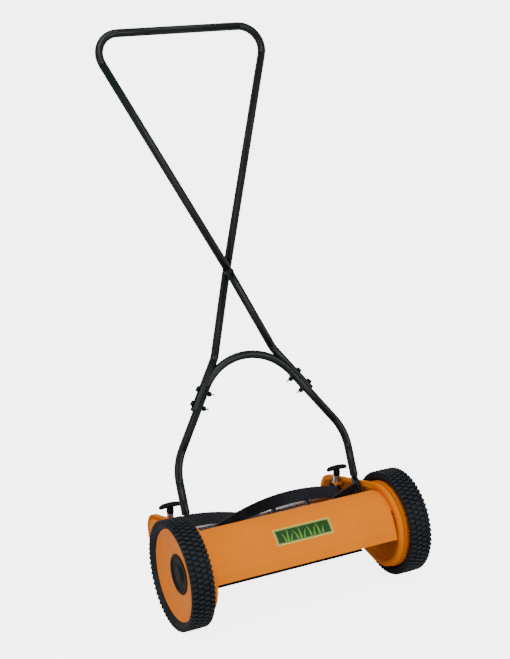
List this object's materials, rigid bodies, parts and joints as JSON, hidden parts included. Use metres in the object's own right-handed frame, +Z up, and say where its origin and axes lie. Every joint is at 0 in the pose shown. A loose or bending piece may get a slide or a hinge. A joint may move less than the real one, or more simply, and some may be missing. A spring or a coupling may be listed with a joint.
{
  "type": "reel mower",
  "caption": "Push reel mower: geared wheels drive a helical blade reel past a bed knife under a curved front shield, with a crossed tube handle and an adjustable rear roller.",
  "frame": {"origin": "on the ground, midway between the wheels, straight below their axles", "axes": "+X across the mower, +Y back towards the user, +Z up"},
  "size_m": [0.56, 0.6727, 1.1406],
  "materials": {
    "tyre_rubber": "moulded rubber, satin",
    "orange_paint": "gloss enamel",
    "orange_plastic": "moulded, satin gloss",
    "black_nylon": "moulded nylon",
    "black_plastic": "moulded, semi gloss",
    "black_paint": "gloss black enamel",
    "handle_paint": "gloss powder coat",
    "zinc": "bright zinc plate",
    "steel": "ground steel",
    "sintered": "oil-filled bearing bronze",
    "pinion_steel": "sintered iron",
    "label_green": "printed foil"
  },
  "bodies": {
    "frame": {"left_side_plate": "orange_paint", "right_side_plate": "orange_paint", "front_shield": "orange_paint", "shield_label": "label_green", "shield_screws": "zinc", "rear_tie_rod": "zinc", "tie_rod_nuts": "zinc", "left_stub_axle": "steel", "right_stub_axle": "steel", "axle_washers": "zinc", "axle_nuts": "zinc", "left_reel_bearing": "sintered", "right_reel_bearing": "sintered", "cutter_bar_bolts": "zinc", "handle_studs": "zinc", "stud_spacers": "zinc", "stud_nuts": "zinc", "screw_lugs": "orange_paint", "guide_bolts": "zinc", "screw_sleeves": "zinc", "knife_adjusters": "zinc"},
    "left_wheel": {"left_tyre": "tyre_rubber", "left_wheel_disc": "orange_plastic", "left_ring_gear": "black_nylon", "left_wheel_bush": "sintered", "left_hub_cap": "black_plastic"},
    "right_wheel": {"right_tyre": "tyre_rubber", "right_wheel_disc": "orange_plastic", "right_ring_gear": "black_nylon", "right_wheel_bush": "sintered", "right_hub_cap": "black_plastic"},
    "left_drive_pinion": {"left_pinion": "pinion_steel"},
    "right_drive_pinion": {"right_pinion": "pinion_steel"},
    "reel": {"reel_shaft": "black_paint", "reel_spiders": "black_paint", "reel_blade_1": "black_paint", "reel_blade_2": "black_paint", "reel_blade_3": "black_paint", "reel_blade_4": "black_paint", "reel_blade_5": "black_paint", "reel_pawls": "steel", "pinion_clips": "steel"},
    "knife_bar": {"cutter_bar": "black_paint", "bed_knife": "steel", "knife_screws": "steel"},
    "handle": {"lower_handle": "handle_paint", "upper_handle": "handle_paint", "handle_bolts": "black_paint", "wing_nuts": "black_paint", "cross_bolt": "black_paint"},
    "left_screw": {"left_height_screw": "zinc", "left_height_knob": "black_plastic"},
    "right_screw": {"right_height_screw": "zinc", "right_height_knob": "black_plastic"},
    "roller_carriage": {"left_roller_bracket": "black_paint", "right_roller_bracket": "black_paint", "roller_axle": "steel", "roller_nuts": "zinc"},
    "roller": {"rear_roller": "black_plastic"}
  },
  "joints": [
    {"name": "left_wheel_spin", "type": "hinge", "parent": "frame", "child": "left_wheel", "pos_m": [-0.25, 0, 0.115], "axis": [1, 0, 0], "continuous": true},
    {"name": "right_wheel_spin", "type": "hinge", "parent": "frame", "child": "right_wheel", "pos_m": [0.25, 0, 0.115], "axis": [1, 0, 0], "continuous": true},
    {"name": "reel_spin", "type": "hinge", "parent": "frame", "child": "reel", "pos_m": [0, 0.06999, 0.116], "axis": [1, 0, 0], "continuous": true},
    {"name": "left_pinion_spin", "type": "hinge", "parent": "frame", "child": "left_drive_pinion", "pos_m": [-0.24, 0.06999, 0.116], "axis": [1, 0, 0], "continuous": true},
    {"name": "right_pinion_spin", "type": "hinge", "parent": "frame", "child": "right_drive_pinion", "pos_m": [0.24, 0.06999, 0.116], "axis": [1, 0, 0], "continuous": true},
    {"name": "knife_bar_set", "type": "hinge", "parent": "frame", "child": "knife_bar", "pos_m": [0, 0.105, 0.053], "axis": [1, 0, 0], "range_deg": [0, 1.5]},
    {"name": "handle_tilt", "type": "hinge", "parent": "frame", "child": "handle", "pos_m": [0, 0.0604, 0.1437], "axis": [1, 0, 0], "range_deg": [-26, 40]},
    {"name": "left_screw_turn", "type": "hinge", "parent": "frame", "child": "left_screw", "pos_m": [-0.206, 0.167, 0.15], "axis": [0, 0, 1], "range_deg": [-1800, 1800]},
    {"name": "right_screw_turn", "type": "hinge", "parent": "frame", "child": "right_screw", "pos_m": [0.206, 0.167, 0.15], "axis": [0, 0, 1], "range_deg": [-1800, 1800]},
    {"name": "roller_height", "type": "slide", "parent": "frame", "child": "roller_carriage", "axis": [0, 0, 1], "range_m": [-0.01, 0.01]},
    {"name": "roller_spin", "type": "hinge", "parent": "roller_carriage", "child": "roller", "pos_m": [0, 0.192, 0.025], "axis": [1, 0, 0], "continuous": true}
  ],
  "couplings": [
    {"joint": "reel_spin", "follows": "left_wheel_spin", "ratio": 6},
    {"joint": "left_pinion_spin", "follows": "left_wheel_spin", "ratio": 6},
    {"joint": "right_pinion_spin", "follows": "right_wheel_spin", "ratio": 6},
    {"joint": "left_screw_turn", "follows": "roller_height", "rad_per_m": 3141.6},
    {"joint": "right_screw_turn", "follows": "roller_height", "rad_per_m": 3141.6}
  ]
}
